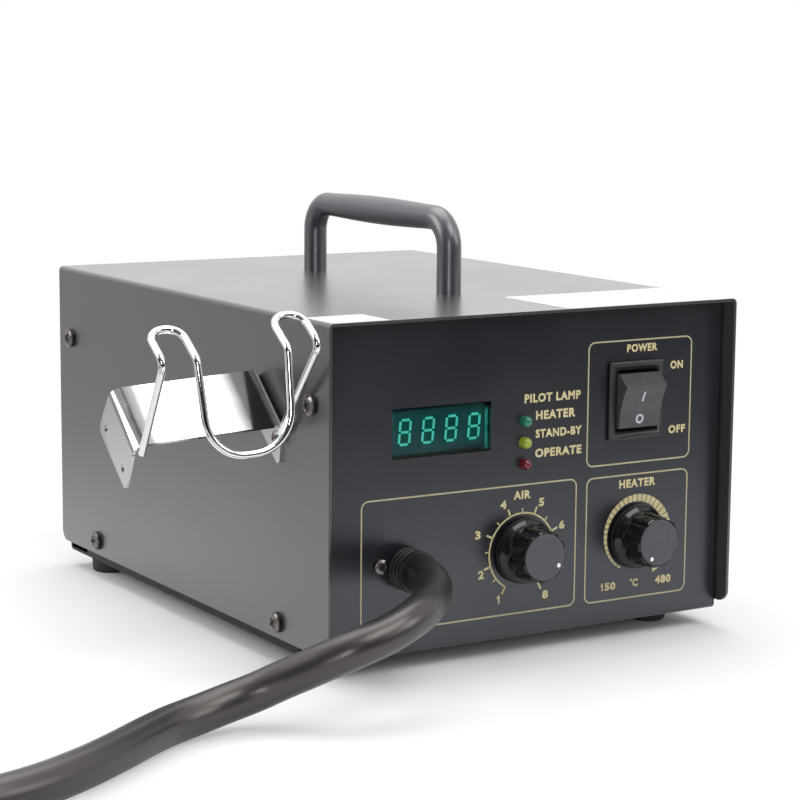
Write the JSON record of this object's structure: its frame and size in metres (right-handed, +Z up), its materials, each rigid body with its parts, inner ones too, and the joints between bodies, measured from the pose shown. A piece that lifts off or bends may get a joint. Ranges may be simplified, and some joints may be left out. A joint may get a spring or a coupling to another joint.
{
  "type": "hot air rework station",
  "caption": "Box-shaped hot air rework station with digital display, rocker switch, control knobs, carry handle, wire cradle on its side, and a handpiece on a thick air hose.",
  "frame": {"origin": "on the bench, under the middle of the station's cover", "axes": "+Z up, -Y out of the front panel, +X to the right of someone facing the panel"},
  "size_m": [0.515, 0.407, 0.1708],
  "materials": {
    "panel_paint": "matt black",
    "cover_paint": "satin grey powder coat",
    "zinc_steel": "zinc plated",
    "foot_rubber": "matt",
    "handle_paint": "satin black",
    "chrome": "bright",
    "window": "tinted",
    "display_case": "satin",
    "board": "satin",
    "spacer": "satin",
    "lamp_green": "translucent",
    "lamp_yellow": "translucent",
    "lamp_red": "translucent",
    "switch_plastic": "satin black",
    "rocker_plastic": "satin grey",
    "pot_metal": "plain",
    "shaft_metal": "turned",
    "knob_plastic": "gloss black",
    "cap_plastic": "matt grey",
    "gland_plastic": "satin black",
    "hose_rubber": "glossy",
    "pump_steel": "plain",
    "core_iron": "laminated",
    "winding": "taped",
    "arm_metal": "plain",
    "head_plastic": "satin",
    "diaphragm": "matt",
    "manifold_plastic": "satin",
    "silicone": "satin",
    "component": "mixed",
    "fuse_glass": "clear",
    "grip_plastic": "matt black",
    "pipe_steel": "brushed",
    "ceramic": "unglazed"
  },
  "bodies": {
    "station": {"chassis_tray": "panel_paint", "cover": "cover_paint", "cover_screws": "zinc_steel", "rubber_feet": "foot_rubber", "case_screws": "zinc_steel", "carry_handle": "handle_paint", "holder_bracket": "chrome", "holder_wire": "chrome", "holder_screws": "zinc_steel", "display_window": "window", "digit_display": "display_case", "display_board": "board", "display_spacers": "spacer", "green_lamp": "lamp_green", "yellow_lamp": "lamp_yellow", "red_lamp": "lamp_red", "switch_housing": "switch_plastic", "potentiometers": "pot_metal", "panel_nuts": "zinc_steel", "panel_screw": "zinc_steel", "hose_gland": "gland_plastic", "hose": "hose_rubber", "hose_coil": "hose_rubber", "hose_tail": "hose_rubber", "pump_base": "pump_steel", "pump_mounts": "foot_rubber", "pump_core": "core_iron", "pump_coil": "winding", "pump_heads": "head_plastic", "pump_diaphragms": "diaphragm", "pump_manifold": "manifold_plastic", "air_tube": "silicone", "transformer_core": "core_iron", "transformer_coil": "winding", "main_board": "board", "board_standoffs": "spacer", "heat_sink": "arm_metal", "board_parts": "component", "power_inlet": "gland_plastic", "fuse_holder": "gland_plastic", "hose_boot": "hose_rubber", "grip_left": "grip_plastic", "grip_right": "grip_plastic", "grip_screws": "zinc_steel", "heater_pipe": "pipe_steel", "heater_core": "ceramic"},
    "rocker": {"switch_rocker": "rocker_plastic"},
    "air_control": {"air_shaft": "shaft_metal", "air_knob": "knob_plastic", "air_knob_cap": "cap_plastic"},
    "heater_control": {"heater_shaft": "shaft_metal", "heater_knob": "knob_plastic", "heater_knob_cap": "cap_plastic"},
    "fuse_carrier": {"fuse_cap": "gland_plastic", "fuse": "fuse_glass"},
    "arm_left": {"pump_arm_left": "arm_metal"},
    "arm_right": {"pump_arm_right": "arm_metal"},
    "nozzle_sleeve": {"nozzle": "pipe_steel", "nozzle_screw": "zinc_steel"}
  },
  "joints": [
    {"name": "rocker_tilt", "type": "hinge", "parent": "station", "child": "rocker", "pos_m": [0.0488, -0.114, 0.0965], "axis": [1, 0, 0], "range_deg": [-32, 0]},
    {"name": "air_knob_turn", "type": "hinge", "parent": "station", "child": "air_control", "pos_m": [-0.0037, -0.1155, 0.0415], "axis": [0, 1, 0], "range_deg": [-270, 30]},
    {"name": "heater_knob_turn", "type": "hinge", "parent": "station", "child": "heater_control", "pos_m": [0.0508, -0.1155, 0.0415], "axis": [0, 1, 0], "range_deg": [0, 300]},
    {"name": "fuse_cap_turn", "type": "hinge", "parent": "station", "child": "fuse_carrier", "pos_m": [-0.045, 0.1165, 0.085], "axis": [0, 1, 0], "range_deg": [0, 90]},
    {"name": "pump_arm_swing_left", "type": "hinge", "parent": "station", "child": "arm_left", "pos_m": [-0.053, -0.004, 0.0392], "axis": [0, 0, 1], "range_deg": [-1.2, 1.2], "stiffness_Nm_per_rad": 2},
    {"name": "pump_arm_swing_right", "type": "hinge", "parent": "station", "child": "arm_right", "pos_m": [-0.009, -0.004, 0.0392], "axis": [0, 0, 1], "range_deg": [-1.2, 1.2], "stiffness_Nm_per_rad": 2},
    {"name": "nozzle_slide", "type": "slide", "parent": "station", "child": "nozzle_sleeve", "axis": [0, 1, 0], "range_m": [0, 0.03]}
  ],
  "couplings": [
    {"joint": "pump_arm_swing_right", "follows": "pump_arm_swing_left", "ratio": -1}
  ]
}
